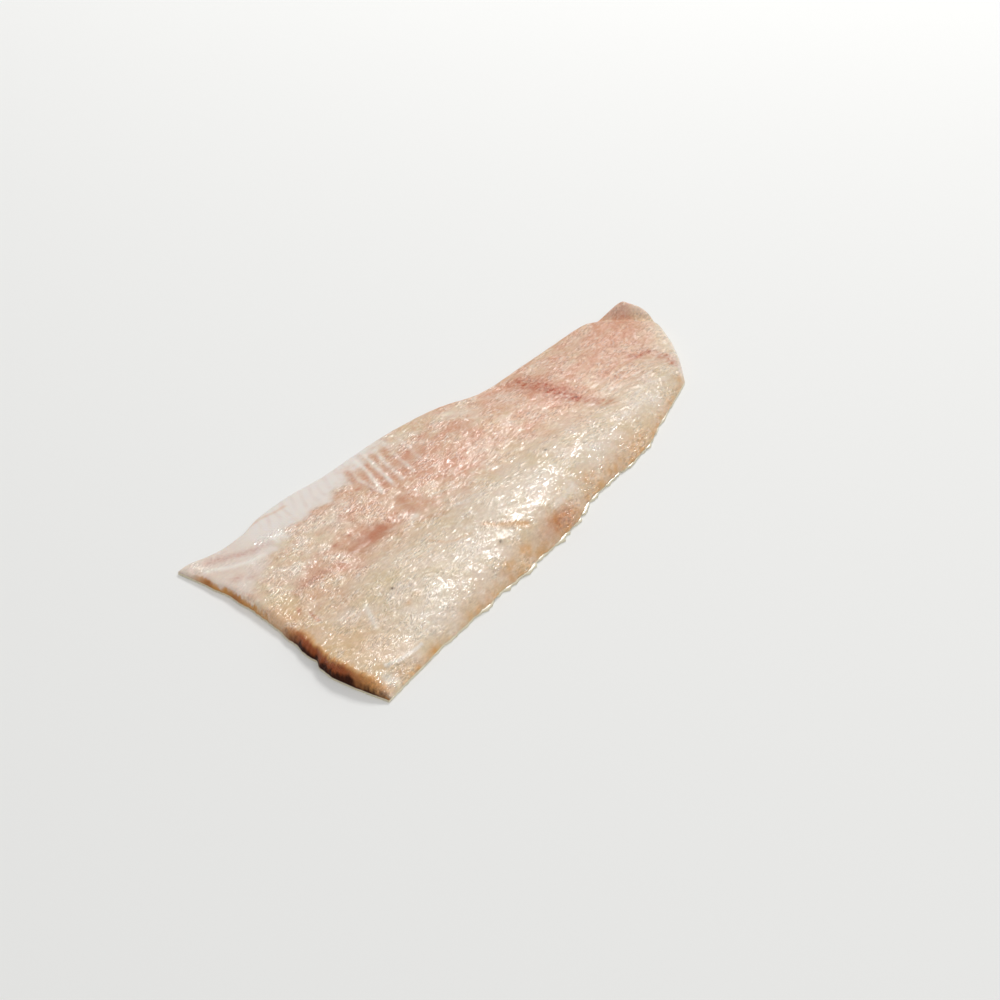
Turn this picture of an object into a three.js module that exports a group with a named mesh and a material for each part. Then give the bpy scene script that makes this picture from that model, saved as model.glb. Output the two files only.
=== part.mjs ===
import * as THREE from 'three';
import { ParametricGeometry } from 'three/addons/geometries/ParametricGeometry.js';
import { mergeVertices } from 'three/addons/utils/BufferGeometryUtils.js';

// A raw whitefish fillet lying flesh side up, in millimetres.
// +X runs from the head cut to the tail, +Y from the back edge to the belly edge, +Z up.
// The origin is the middle of the box around the fillet, on the surface that it lies on.

// Four edges seen from above, each through the few points that its shape needs, evenly apart.
// The back and belly edges run from head to tail, the two ends from back to belly.
const BACK_EDGE = [
  [-152.3, -54.6], [-120, -53.8], [-87, -54.4], [-54, -55.5], [-21.5, -55.8],
  [11, -52], [44, -53.4], [76.5, -48], [108.5, -42],
];
const BELLY_EDGE = [
  [-117.8, 56], [-87.5, 49.8], [-57, 50.6], [-27, 46.2], [3, 42.8],
  [29, 36.6], [54, 25.3], [85, 21.5], [121, 17.3], [150.5, 8.2],
];
const HEAD_CUT = [[-152.3, -54.6], [-149, -29], [-135.8, -3.5], [-123.8, 26], [-117.8, 56]];
const TAIL_CUT = [[108.5, -42], [124.5, -31.7], [139, -20], [152, -5], [150.5, 8.2]];

// Heights at evenly spaced stations from the head cut to the tail.
// The loin and the belly muscle are rounded ridges on top of a slab that spans the two edges.
const BACK_EDGE_HEIGHT = [4.4, 5.6, 6.6, 6.4, 5.2, 3.6];
const BELLY_EDGE_HEIGHT = [2.2, 2.6, 3.0, 4.2, 5.0, 4.8];
const LOIN_HEIGHT = [2.0, 4.0, 5.2, 4.8, 3.0, 0.8];
const BELLY_MUSCLE_HEIGHT = [1.6, 2.4, 2.8, 3.2, 2.6, 0.8];

// Places across the fillet, as shares of its width from the back edge, and how far each form spreads.
const LOIN_PLACE = 0.25;
const LOIN_SPREAD = 0.26;
const BELLY_MUSCLE_PLACE = 0.71;
const BELLY_MUSCLE_SPREAD = 0.16;
const MIDLINE_AT_HEAD = 0.52;
const MIDLINE_AT_TAIL = 0.38;
const MIDLINE_SPREAD = 0.05;
const MIDLINE_DEPTH = 0.4;

// The rim's height above the surface, and how far in from each edge the flesh reaches its full height.
const RIM = 1.0;
const BACK_ROUND = 20;
const BELLY_ROUND = 4;
const HEAD_ROUND = 5;
const TAIL_ROUND = 8;

// The tail's belly corner is bent up behind a crease that runs in from the belly edge.
const CREASE_POINT = [136, 10];
const CREASE_ANGLE = THREE.MathUtils.degToRad(-53);
const CREASE_DEPTH = 1.8;
const CREASE_WIDTH = 3.5;
const CORNER_LIFT = 6;
const CORNER_REACH = 12;

// The flesh swells in front of that crease.
const SHOULDER_POINT = [129, 8];
const SHOULDER_SPREAD = 12;
const SHOULDER_HEIGHT = 1.8;

// The film over the belly wall lies lower than the flesh beside it, as far back as the ribs reached.
const FILM_EDGE = 0.8;
const FILM_SOFTNESS = 0.03;
const FILM_STEP = 0.5;
const FILM_END = 0.5;
const FILM_FADE = 0.1;

// A shallow pressed hollow along the midline.
const HOLLOW_POINT = [-78, -1];
const HOLLOW_LENGTH = 18;
const HOLLOW_WIDTH = 5;
const HOLLOW_DEPTH = 0.8;

// Unevenness: two lumps along the loin, waves along the back edge and a nick in the head cut.
const LUMP_CREST = -30;
const LUMP_LENGTH = 64;
const LUMP_HEIGHT = 0.5;
const WAVE_LENGTHS = [37, 23];
const WAVE_DEPTH = 0.35;
const WAVE_REACH = 0.1;
const NICK_PLACE = 0.34;
const NICK_SPREAD = 0.02;
const NICK_REACH = 0.02;
const NICK_DEPTH = 1.5;

// Facets along and across, drawn together towards the edges.
const ROWS = 72;
const COLUMNS = 30;
const ROW_CROWDING = 0.7;
const COLUMN_CROWDING = 0.6;

const FLESH_COLOUR = 0xe6c8ae;
const FLESH_ROUGHNESS = 0.35;

const { clamp, lerp, smoothstep } = THREE.MathUtils;

const toCurve = (points) => new THREE.SplineCurve(points.map(([x, y]) => new THREE.Vector2(x, y)));
const backEdge = toCurve(BACK_EDGE);
const bellyEdge = toCurve(BELLY_EDGE);
const headCut = toCurve(HEAD_CUT);
const tailCut = toCurve(TAIL_CUT);

// A smooth line through values at even stations, as a function of the share of the length.
function profile(values) {
  const curve = toCurve(values.map((value, station) => [station, value]));
  return (along) => curve.getPoint(along).y;
}

const backHeight = profile(BACK_EDGE_HEIGHT);
const bellyHeight = profile(BELLY_EDGE_HEIGHT);
const loinHeight = profile(LOIN_HEIGHT);
const bellyMuscleHeight = profile(BELLY_MUSCLE_HEIGHT);

// A bell curve of height 1.
const bell = (distance, spread) => Math.exp(-((distance / spread) ** 2));

// A wave of height 1 with a crest at 0.
const wave = (distance, length) => Math.cos((2 * Math.PI * distance) / length);

// A quarter round: 0 at an edge, 1 from `reach` inwards.
function quarterRound(distance, reach) {
  const left = 1 - clamp(distance / reach, 0, 1);
  return Math.sqrt(1 - left * left);
}

// A flat arch: 0 at an edge, rising in a straight slope that eases off to 1 from `reach` inwards.
function softRound(distance, reach) {
  const left = 1 - clamp(distance / reach, 0, 1);
  return 1 - left * left;
}

// Even steps from 0 to 1, drawn together at both ends.
const crowd = (step, amount) => step - (amount * Math.sin(2 * Math.PI * step)) / (2 * Math.PI);

// The outline's inside: a patch spanned by the four edges (a Coons patch).
// `along` is the share of the length from the head cut, `across` that of the width from the back edge.
function planPoint(along, across) {
  const point = new THREE.Vector2();
  point.addScaledVector(backEdge.getPoint(along), 1 - across);
  point.addScaledVector(bellyEdge.getPoint(along), across);
  point.addScaledVector(headCut.getPoint(across), 1 - along);
  point.addScaledVector(tailCut.getPoint(across), along);
  point.addScaledVector(headCut.getPoint(0), -(1 - along) * (1 - across));
  point.addScaledVector(headCut.getPoint(1), -(1 - along) * across);
  point.addScaledVector(tailCut.getPoint(0), -along * (1 - across));
  point.addScaledVector(tailCut.getPoint(1), -along * across);
  return point;
}

// Uneven edges: waves push the back edge in and out between its corners, a nick cuts into the head end.
function roughen(point, along, across) {
  const waves = WAVE_LENGTHS.reduce((sum, length) => sum + wave(point.x, length), 0);
  const betweenCorners = Math.sin(Math.PI * along);
  point.y += WAVE_DEPTH * waves * betweenCorners * bell(across, WAVE_REACH);
  point.x += NICK_DEPTH * bell(across - NICK_PLACE, NICK_SPREAD) * bell(along, NICK_REACH);
}

// Share of its height that the flesh has at a place, from the rounds at the four edges.
function fullness(along, across) {
  const width = backEdge.getPoint(along).distanceTo(bellyEdge.getPoint(along));
  const length = headCut.getPoint(across).distanceTo(tailCut.getPoint(across));
  const sides = softRound(across * width, BACK_ROUND) * quarterRound((1 - across) * width, BELLY_ROUND);
  const ends = quarterRound(along * length, HEAD_ROUND) * quarterRound((1 - along) * length, TAIL_ROUND);
  return sides * ends;
}

// The slab between the two edges with its two muscles, lumps, shoulder and midline furrow.
function muscles(point, along, across) {
  const slab = lerp(backHeight(along), bellyHeight(along), across);
  const onLoin = bell(across - LOIN_PLACE, LOIN_SPREAD);
  const onBelly = bell(across - BELLY_MUSCLE_PLACE, BELLY_MUSCLE_SPREAD);
  const onMidline = bell(across - lerp(MIDLINE_AT_HEAD, MIDLINE_AT_TAIL, along), MIDLINE_SPREAD);
  const loin = (loinHeight(along) + LUMP_HEIGHT * wave(point.x - LUMP_CREST, LUMP_LENGTH)) * onLoin;
  const [x, y] = SHOULDER_POINT;
  const shoulder = SHOULDER_HEIGHT * bell(Math.hypot(point.x - x, point.y - y), SHOULDER_SPREAD);
  return slab + loin + shoulder + bellyMuscleHeight(along) * onBelly - MIDLINE_DEPTH * onMidline;
}

// What the belly film and the pressed hollow take off.
function sunken(point, along, across) {
  const filmAcross = smoothstep(across, FILM_EDGE - FILM_SOFTNESS, FILM_EDGE + FILM_SOFTNESS);
  const filmAlong = 1 - smoothstep(along, FILM_END - FILM_FADE, FILM_END + FILM_FADE);
  const [x, y] = HOLLOW_POINT;
  const hollow = bell(point.x - x, HOLLOW_LENGTH) * bell(point.y - y, HOLLOW_WIDTH);
  return FILM_STEP * filmAcross * filmAlong + HOLLOW_DEPTH * hollow;
}

// Distance past the tail's crease, towards the bent-up corner.
function pastCrease(point) {
  const [x, y] = CREASE_POINT;
  return (point.y - y) * Math.cos(CREASE_ANGLE) - (point.x - x) * Math.sin(CREASE_ANGLE);
}

// A point of the closed outside: `around` crosses the flesh from belly to back, then returns underneath.
function outsidePoint(around, step, target) {
  const onTop = around <= 0.5;
  const along = crowd(step, ROW_CROWDING);
  const across = crowd(onTop ? 1 - 2 * around : 2 * around - 1, COLUMN_CROWDING);
  const point = planPoint(along, across);
  roughen(point, along, across);
  const full = fullness(along, across);
  const beyond = pastCrease(point);
  const lift = CORNER_LIFT * smoothstep(beyond, 0, CORNER_REACH);
  const crease = CREASE_DEPTH * bell(beyond, CREASE_WIDTH);
  const thickness = muscles(point, along, across) - sunken(point, along, across) - crease;
  const height = onTop ? RIM + (thickness - RIM) * full : RIM * (1 - full);
  target.set(point.x, point.y, height + lift);
}

function filletGeometry() {
  const outside = new ParametricGeometry(outsidePoint, 2 * COLUMNS, ROWS);
  outside.deleteAttribute('normal');
  outside.deleteAttribute('uv');
  const geometry = mergeVertices(outside);
  geometry.computeVertexNormals();
  return geometry;
}

const flesh = new THREE.MeshStandardMaterial({
  color: FLESH_COLOUR,
  roughness: FLESH_ROUGHNESS,
  metalness: 0,
});

const fillet = new THREE.Mesh(filletGeometry(), flesh);
fillet.name = 'fillet';

const part = new THREE.Group();
part.add(fillet);

export default part;
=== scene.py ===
"""A raw whitefish fillet lying flesh side up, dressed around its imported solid.

+X runs from the head cut to the tail, +Y from the back edge to the belly edge, +Z up. Lengths are in
millimetres, and in metres once a mesh, a material, a light or the camera takes them.
"""

import math
from types import SimpleNamespace

import bpy
import numpy as np
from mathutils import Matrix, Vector


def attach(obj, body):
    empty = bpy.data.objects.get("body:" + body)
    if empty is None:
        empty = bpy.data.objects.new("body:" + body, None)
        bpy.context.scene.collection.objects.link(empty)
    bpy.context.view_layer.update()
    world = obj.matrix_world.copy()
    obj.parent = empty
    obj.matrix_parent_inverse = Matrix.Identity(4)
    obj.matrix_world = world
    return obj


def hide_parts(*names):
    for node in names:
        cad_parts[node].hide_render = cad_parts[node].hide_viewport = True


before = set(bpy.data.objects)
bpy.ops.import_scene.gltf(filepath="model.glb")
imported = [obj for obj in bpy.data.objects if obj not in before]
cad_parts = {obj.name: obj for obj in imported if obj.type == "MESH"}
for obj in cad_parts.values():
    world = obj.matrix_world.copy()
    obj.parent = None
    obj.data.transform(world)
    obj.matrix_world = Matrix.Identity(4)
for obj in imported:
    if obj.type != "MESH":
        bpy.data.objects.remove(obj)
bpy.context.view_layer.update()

bl_info = {
    "name": "Whitefish fillet",
    "version": (1, 0, 0),
    "blender": (4, 5, 0),
    "location": "View3D > Sidebar > Fillet",
    "description": "Builds a raw whitefish fillet: moist flesh on a thin scaled skin",
    "category": "Add Mesh",
}

MM = 0.001  # metres in a millimetre
NODE = "fillet"
BODY = "root"

# The solid's own form. Four edges seen from above, each through evenly spaced points.
BACK_EDGE = np.array([
    [-152.3, -54.6], [-120, -53.8], [-87, -54.4], [-54, -55.5], [-21.5, -55.8],
    [11, -52], [44, -53.4], [76.5, -48], [108.5, -42],
])
BELLY_EDGE = np.array([
    [-117.8, 56], [-87.5, 49.8], [-57, 50.6], [-27, 46.2], [3, 42.8],
    [29, 36.6], [54, 25.3], [85, 21.5], [121, 17.3], [150.5, 8.2],
])
HEAD_CUT = np.array([[-152.3, -54.6], [-149, -29], [-135.8, -3.5], [-123.8, 26], [-117.8, 56]])
TAIL_CUT = np.array([[108.5, -42], [124.5, -31.7], [139, -20], [152, -5], [150.5, 8.2]])

# Heights at even stations from the head cut to the tail.
BACK_EDGE_HEIGHT = np.array([4.4, 5.6, 6.6, 6.4, 5.2, 3.6])
BELLY_EDGE_HEIGHT = np.array([2.2, 2.6, 3.0, 4.2, 5.0, 4.8])
LOIN_HEIGHT = np.array([2.0, 4.0, 5.2, 4.8, 3.0, 0.8])
BELLY_MUSCLE_HEIGHT = np.array([1.6, 2.4, 2.8, 3.2, 2.6, 0.8])

# Places across the fillet, as shares of its width from the back edge.
LOIN_PLACE, LOIN_SPREAD = 0.25, 0.26
BELLY_MUSCLE_PLACE, BELLY_MUSCLE_SPREAD = 0.71, 0.16
MIDLINE_PLACES, MIDLINE_SPREAD, MIDLINE_DEPTH = (0.52, 0.38), 0.05, 0.4

# The rim's height, and how far in from each edge the flesh reaches its full height.
RIM = 1.0
BACK_ROUND, BELLY_ROUND, HEAD_ROUND, TAIL_ROUND = 20, 4, 5, 8

# The tail's bent-up belly corner with its crease, and the swelling in front of it.
CREASE_X, CREASE_Y, CREASE_ANGLE = 136, 10, math.radians(-53)
CREASE_DEPTH, CREASE_WIDTH = 1.8, 3.5
CORNER_LIFT, CORNER_REACH = 6, 12
SHOULDER = (129, 8, 12, 12, 1.8)

# A pressed hollow on the midline, lumps along the loin, waves along the back edge, a nick in the head cut.
HOLLOW = (-78, -1, 18, 5, 0.8)
LUMP_CREST, LUMP_LENGTH, LUMP_HEIGHT = -30, 64, 0.5
WAVE_LENGTHS, WAVE_DEPTH, WAVE_REACH = (37, 23), 0.35, 0.1
NICK_PLACE, NICK_SPREAD, NICK_REACH, NICK_DEPTH = 0.34, 0.02, 0.02, 1.5

# Finer unevenness of the outline: place, height and reach of the belly edge's bulges, and length and depth
# of the rags of back edge and head cut.
BELLY_BULGES = [(-112, 0.8, 4), (-99, -0.9, 7), (-73, 1.3, 9), (-38, -0.8, 12), (40, 1.0, 9)]
BULGE_REACH = 0.03
RAGS, RAG_REACH, HEAD_RAG_SEED = [(7, 0.7), (2.6, 0.4)], 0.016, 10

# Fineness of the grid: the fillet's middle length and width, steps over each edge's round and between,
# how coarse the hidden side is, and the side of a noise's lattice.
GRID_LENGTH, GRID_WIDTH = 265, 100
HEAD_STEPS, LENGTH_STEPS, TAIL_STEPS = 12, 340, 16
BACK_STEPS, WIDTH_STEPS, BELLY_STEPS = 40, 180, 12
COARSE = 4
NOISE_SIDE = 256

# The inner border of the belly film, and that of pink and cream flesh along the midline and round the tail.
FILM_BORDER = np.array([
    [-132, 18], [-113, 24], [-107, 27], [-91, 30.5], [-81, 33], [-70, 36.5], [-59, 33],
    [-50, 32.5], [-38, 35], [-29, 38], [-18, 39], [-9, 39], [4, 38], [14, 41],
])
PINK_BORDER = np.array([
    [-152, -12], [-120, -8], [-95, -6], [-62, -8], [-28, -9], [10, -14], [40, -22],
    [67, -25], [92, -26], [112, -26], [128, -18], [142, -6], [150, 6],
])
FILM_SOFTNESS, PINK_SOFTNESS = 3.6, 12

# Chains of points that marks follow: the pressed hollow's floor and brim, an oval mark near it, a torn sliver
# on the loin and its lip, painted with a highlight, a ridge at the back corner, and a streak and a fold of
# the film.
HOLLOW_FLOOR = [(-81, 3.6), (-71, 3.2), (-62, 2)]
HOLLOW_BRIM = [(x, y + 1) for x, y in HOLLOW_FLOOR]
OVAL = [(-41, 7), (-45, -1)]
SLIVER = [(-47, -34), (-46, -38), (-42, -42), (-38, -46)]
SLIVER_LIP_HIGHLIGHT = [(x + 1.8, y + 1.2) for x, y in SLIVER]
CORNER_RIDGE = [(-140, -46), (-134, -48), (-127, -49), (-121, -49.3)]
FILM_STREAK = [(-110, 49), (-102, 44), (-96, 39), (-89, 37)]
FILM_FOLD = [(-115, 45), (-109, 39), (-103, 34.5), (-97, 33)]

# Soft lines by mark: width, strength and points. Relief has a depth for a strength.
LINES = {
    "ribs": [
        (1.05, 0.7, [(-26, 38), (-33, 30), (-39, 18)]), (1.05, 1.0, [(-19, 40), (-27, 29), (-40, 15)]),
        (1.05, 1.1, [(-13, 40), (-23, 27), (-33, 14)]), (1.05, 0.9, [(-8, 38), (-16, 29), (-27, 14)]),
        (1.05, 0.7, [(-2, 37), (-10, 27), (-20, 13)]), (1.05, 0.45, [(4, 34), (-2, 26), (-10, 16)]),
    ],
    "yellow": [(6, 0.36, [(0, 36), (20, 32), (34, 23)])],
    "blood": [
        (0.7, 0.5, [(-122, -4), (-126, -10)]), (0.8, 0.5, [(-122, 1), (-124.5, -1)]),
        (2.6, 0.34, [(-114, 7), (-100, 6), (-90, 4)]), (2.0, 0.22, [(-50, -8), (-46, -11), (-43, -14)]),
        (4, 0.3, HOLLOW_FLOOR), (2.6, 0.22, OVAL), (2.6, 0.3, FILM_STREAK),
    ],
    "amber": [
        (0.7, 0.35, [(-64, -20), (-64, -26), (-62, -29), (-55, -32)]), (1.9, 0.75, SLIVER),
        (0.8, 0.3, [(-82, 50.5), (-73, 49.5), (-67, 47), (-61, 46)]), (4, 0.14, HOLLOW_FLOOR),
    ],
    "rust": [(4, 0.3, HOLLOW_FLOOR), (2.6, 0.06, OVAL)],
    "fat": [
        (0.6, 0.45, [(107, -37), (96, -36), (86, -34), (77, -34)]), (1.6, 0.8, FILM_FOLD),
        (0.6, 0.45, [(84, -40.5), (74, -38.5), (61, -38.5), (42, -41)]), (0.7, 0.95, CORNER_RIDGE),
        # The sliver's lip is painted pale: a painted highlight.
        (1.0, 0.6, [(-112, -21), (-118, -27), (-123, -32)]), (0.8, 0.5, SLIVER_LIP_HIGHLIGHT),
        (1.2, 0.5, [(0, -46), (-10, -47.5), (-20, -48.5)]),
    ],
    "smooth": [(4, 1.2, HOLLOW_FLOOR), (2.6, 0.85, OVAL)],
    "dry": [(5, 0.95, HOLLOW_BRIM)],
    "relief": [
        (1.5, -0.12, SLIVER), (2.2, 0.3, FILM_FOLD), (2.5, -0.25, FILM_STREAK), (1.2, 0.3, CORNER_RIDGE),
    ],
    "no relief": [(4, 0.75, HOLLOW_FLOOR), (2.6, 0.6, OVAL)],
}
# Blood streaks: share of the speckle, width, strength and points.
BLOOD_STREAKS = [
    (0.4, 7.0, 0.56, [(66, 12), (64, 5), (63, -1), (64, -7)]),
    (0.4, 3.6, 0.68, [(62, -4), (63, -10), (63.5, -15)]),
    (0.36, 4.5, 0.4, [(63, -14), (65, -20), (66, -27)]),
    (0.42, 3.2, 0.46, [(110, -17), (118, -21), (119, -27), (115, -33)]),
]

# Soft oval patches by mark: x, y, length, width, strength if not 1, and turn in degrees if any.
RIB_TURN = 51
BLOOD_DOTS = [(-68, 24), (-72, 10), (-62, 15), (-61, 21), (-81, 11), (-40, 26), (-12, 30), (-6, 24)]
RIB_REDS = [
    (-29, 36), (-34, 32), (-28, 27), (-38, 21), (-33, 19),
    (-22, 33), (-16, 31), (-21, 24), (-27, 20), (-12, 24),
]
PATCHES = {
    "flake tints": [(-28, -12, 60, 15)],
    "stria": [(-84, 38, 16, 7)],
    "deep pink": [(-14, 12, 22, 12, 0.3), (128, -1, 20, 14, 0.22), (97, -8, 20, 10, 0.12)],
    "rosy": [(-108, -6, 10, 11, 0.16)],
    "yellow": [(-122, 10, 14, 12, 0.6), (-86, 22, 22, 12, 0.42), (90, 16, 16, 6, 0.18)],
    "blood": [
        (-115, 32, 3.5, 2.2, 0.3), (-112, 27.5, 2.6, 1.8, 0.3), (133, -3, 10, 7, 0.1),
        (-23, -52.5, 14, 3.2, 0.36), *((x, y, 1.3, 0.9, 0.5) for x, y in BLOOD_DOTS),
    ],
    "rib reds": [(x, y, 4, 1.8, 1, RIB_TURN) for x, y in RIB_REDS],
    "amber": [(-128, 5, 12, 9, 0.42), (-136, -28, 18, 24, 0.32), (-70, 18, 40, 18, 0.06)],
    # The blotch at -138, -50.5 lies in the back corner's fold: partly painted shade.
    "amber blotches": [
        (-22, -52.5, 12, 3.6, 0.8), (-49, -52, 5, 3, 0.7), (-62, -52, 6, 2.5, 0.6), (10, -48, 7, 3.5, 0.5),
        (26, -51, 14, 3.6, 0.58), (46, -50, 14, 3.6, 0.58), (-100, -35, 2.0, 1.1, 0.5),
        (-106, -35, 2.2, 1.2, 0.5), (-95, 17, 3, 2, 0.3), (-84, 20, 3, 2, 0.3), (-99, 20, 3, 2, 0.3),
        (-77, 21, 3, 2, 0.3), (-138, -50.5, 7, 2.4, 0.36), (107, -41, 4, 2.5, 0.5), (-114, 50, 5, 6, 0.2),
    ],
    # The rust patch at -138, -50.5 darkens the back corner's fold: painted shade.
    "rust": [(-23, -53, 13, 3.4, 0.08), (-138, -50.5, 6, 2, 0.15)],
    "belly rust": [(-119.5, 41, 2, 3, 0.5), (-124, 27, 2, 4, 0.5)],
    "brown": [(x, y, 0.65, 0.6) for x, y in ((-54, -44), (-100, -25), (15, -26), (64, -14))],
    # The first fat patch, on the film's border, is a painted highlight; the fourth, on the belly, painted
    # sheen.
    "fat": [
        (-82, 35.5, 4, 2.2, 0.9, 20), (-114, 51, 5, 6, 0.4), (-92, -41, 12, 7, 0.35), (-72, 24, 14, 10, 0.12),
        (-49, -4.5, 2.2, 1.4, 0.7),
    ],
    # The back corner: white tissue at the cut's end, and a painted highlight of its wet patch.
    "fat corner": [(-145, -50.5, 3.4, 2.8, 0.7)],
    # White dashes in the film by its border: painted glints.
    "fat dashes": [(-88, 38, 6, 2.2, 0.7, 20)],
    "tail flakes": [(92, -28, 34, 16, 0.4)],
    "smooth": [(-23, 27, 16, 14, 0.6)],
    "glints": [
        (-68, 29, 8, 4), (-55, 22, 10, 5), (-57, 11, 6, 4), (-88, 23, 8, 4), (-110, 20, 7, 4), (91, 6, 8, 6),
        (112, -10, 8, 5),
    ],
    "sheen": [(-36, -36, 26, 11), (-9, -36, 20, 9)],
    "gloss": [
        (-68, -39, 18, 9), (-90, -41, 14, 8), (-110, -44, 18, 8), (24, -42, 16, 7), (78, -40, 12, 4),
        (-83, 36, 7, 4), (-85.5, 5.5, 2.2, 1.3), (-146, -51, 4, 3),
    ],
    "calm": [(-18, -5, 17, 8, 1, -20), (-37, -3, 15, 11)],
    "strokes": [(-82, 37.3, 9, 3.2, 1, -20)],
    "tip": [(-114, 50, 5, 7)],
    "relief": [(-139, -50.5, 7, 1.8, -0.4)],
}

# Noises by what they mottle or bend: a plain value, then each noise's grain length, width, seed and share.
# One of endless width runs straight across.
NOISES = {
    "film": (0, (8, 8, 3, 4.0), (3, 3, 4, 1.6)),
    "ribs": (0.75, (5, 5, 5, 0.5)),
    "flakes": (0, (24, 24, 9, 2.2)),
    "flake gaps": (0, (8, 8, 43, 1)),
    "pink": (0.5, (12, 7, 8, 0.3), (5, 4, 6, 0.25)),
    "pink border": (0, (17, 17, 7, 7)),
    "blood": (0, (2.6, 1.8, 21, 1), (1.3, 1.0, 22, 0.6)),
    "furrows": (0.5, (7, 7, 45, 0.8)),
    "furrow bends": (0, (11, 11, 44, 2)),
    "amber": (0.8, (3, 2, 32, 0.5)),
    "slope": (0.65, (9, 5, 35, 0.5)),
    "tail flakes": (0.6, (9, 4, 42, 0.6)),
    "tail bends": (0, (15, 9, 41, 1.5)),
    "glints": (0, (12, 8, 23, 1), (5, 3.5, 24, 0.6)),
    "lumps": (0, (9, 6, 54, 0.16), (4.5, 3.5, 55, 0.08)),
    "crinkle bends": (0, (6, 6, 56, 2.5)),
    "rim": (0.4, (8, math.inf, 61, 0.9), (2.7, math.inf, 62, 0.8)),
    "scale columns": (0, (14, 14, 63, 0.3)),
    "scale rows": (0, (14, 14, 64, 0.3)),
}

# Zones: a strength, then smooth steps of a coordinate between two limits, falling where the second is lower,
# with the least that is left before the first if that isn't 0.
ZONES = {
    "film": (1, ("x", -112, -75, 0.6), ("x", 12, -8)),
    "film blush": (0.07, ("x", -75, -112)),
    "furrows": (0.12, ("x", -95, -60)),
    "deep tail": (0.06, ("x", 40, 90)),
    "yellow head": (0.08, ("x", -60, -130)),
    "red corner": (0.12, ("past_crease", 0, 4)),
    # Paler bent corner: painted light where the corner tilts into shade.
    "painted light on bent corner": (0.2, ("past_crease", 1, 5)),
    "tail edge": (0.42, ("past_crease", -2, -12)),
    "tail shade": (0.035, ("x", 70, 100), ("past_crease", 3, -2)),
    "cut face": (1, ("from_head", 2.5, 0.5)),
    "cut loin": (1, ("across", 0.56, 0.42)),
    "back corner": (1, ("across", -0.02, 0.06)),
    "belly corner": (1, ("across", 0.97, 0.86)),
    "slope": (0.8, ("from_head", 4, 20)),
    "rust": (0.92, ("across", 0.06, 0.22, 0.2)),
    "brown": (1, ("from_head", 5, 2), ("across", 0, 0.12, 0.5)),
    "fat corner": (1, ("from_head", 1, 4)),
    "dull": (1, ("x", -20, 50), ("y", -36, -16)),
    "flecks": (1, ("from_back", 0.5, 5, 0.4)),
    "dry face": (0.95, ("from_head", 2.5, 0.5), ("across", 0.56, 0.42)),
    "dry head": (0.48, ("from_head", 5, 1)),
    "relief": (1, ("from_edge", 0, 3)),
    "rim": (1, ("x", -110, -70, 0.4)),
    "less rim": (0.45, ("x", 5, 35)),
    "scales": (1, ("from_edge", 1, 5)),
    "outer": (1, ("from_edge", 0.2, 1.2)),
    "dorsal": (1, ("across", 0.6, 0.15)),
}

# Bands: a strength, and a coordinate with the place and the spread of a bell.
BANDS = {
    "loin": (1, "across", LOIN_PLACE, LOIN_SPREAD),
    "cracks": (1.5, "across", LOIN_PLACE, 0.6 * LOIN_SPREAD),
    "amber gap": (0.45, "across", 0.55, 0.08),
    "brown and shadow rise": (0.8, "across", 0.27, 0.1),
    "slope": (1, "from_back", 0, 4.6),
    "tail edge": (1, "from_tail", 0, 7),
    "dry back": (0.48, "from_back", 0, 8),
    "dry crease": (0.9, "past_crease", 0, 5),
    "rim": (1, "from_back", 0, 2),
}

# Flakes of the loin, which slant from the midline to the back edge, with the thin tints along them.
FLAKE_TURN, FLAKE_LEAN, FLAKE_PEAK = math.radians(-30), 0.4, 1.2
FLAKE_TINT_SPACING, FLAKE_TINT_LINE, FLAKE_TINT_GAPS = 6.5, (0.72, 0.96), (-0.3, 0.4)
FLAKE_RED, FLAKE_WHITE = 0.14, 0.4

# Pink of the loin, how much of the pink the film hides, reds between the ribs, and red furrows of the film.
PINK_LOIN, FILM_OVER_PINK = 0.14, 0.5
RIB_RED, RIB_RED_SPECKLE = 0.25, 0.22
FURROW_SPACING, FURROW_FLOOR = 4.4, (-0.2, 0.9)

# The head cut: uneven strokes up it (width, height, seed, depth), and how far in its face leans. Tints have
# heights from none to full, and amber and brown have pairs, for its belly part and its loin part.
CUT_STROKES = [(2.4, 2.5, 31, 1.3), (8, math.inf, 34, 1.4), (1.1, 4, 33, 0.9)]
CUT_LEAN = 1.5
AMBER_CUT, AMBER_NONE, AMBER_FULL = (0.9, 0.8), (3.9, 14.0), (1.9, 7.0)
RUST_AND_SHADE_UP, RUST_BELLY_UP = (9.5, 5), (3.5, 2)
BROWN_AND_SHADOW_CUT, BROWN_AND_SHADOW_UP = (0.1, 1.0), (4.0, 1.6)

# White tissue and painted highlights: shares of ribs, and of gloss spots painted white as a highlight, crests
# of the film's dashes (painted glints), and fine waves on the tail's flakes.
FAT_RIBS, PAINTED_GLOSS_WHITE, PAINTED_DASH_CREST = 0.8, 0.3, (0.5, 0.9)
TAIL_FLAKE_SPACING, TAIL_FLAKE_SLANT, TAIL_FLAKE_CREST = 3.6, 0.12, (0.2, 1.0)

# Finish of the flesh: flecks, partly white tissue and partly painted glints, bumps and cracks, and the shares
# that each kind of place adds to the wetness.
GLINT_RANGE = (-0.35, 0.55)
FLECKS_LEAST, FLECKS_PAINTED_GLOSS, FLECKS_DULL, FLECKS_SMOOTH = 0.15, 0.3, 0.3, 1.2
BUMPS_LEAST, BUMPS_CALM, BUMPS_FILM, CRACKS_PLAIN = 0.25, 0.55, 0.9, 0.9
WET_PLAIN, DRY_BLOOD = 0.75, 0.7
WET_SHARES = {
    "glints": 0.3, "gloss": 0.25, "film": -0.25, "dull": -0.52, "calm": -0.4, "strokes": 0.6, "tip": 0.4,
}

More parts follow.
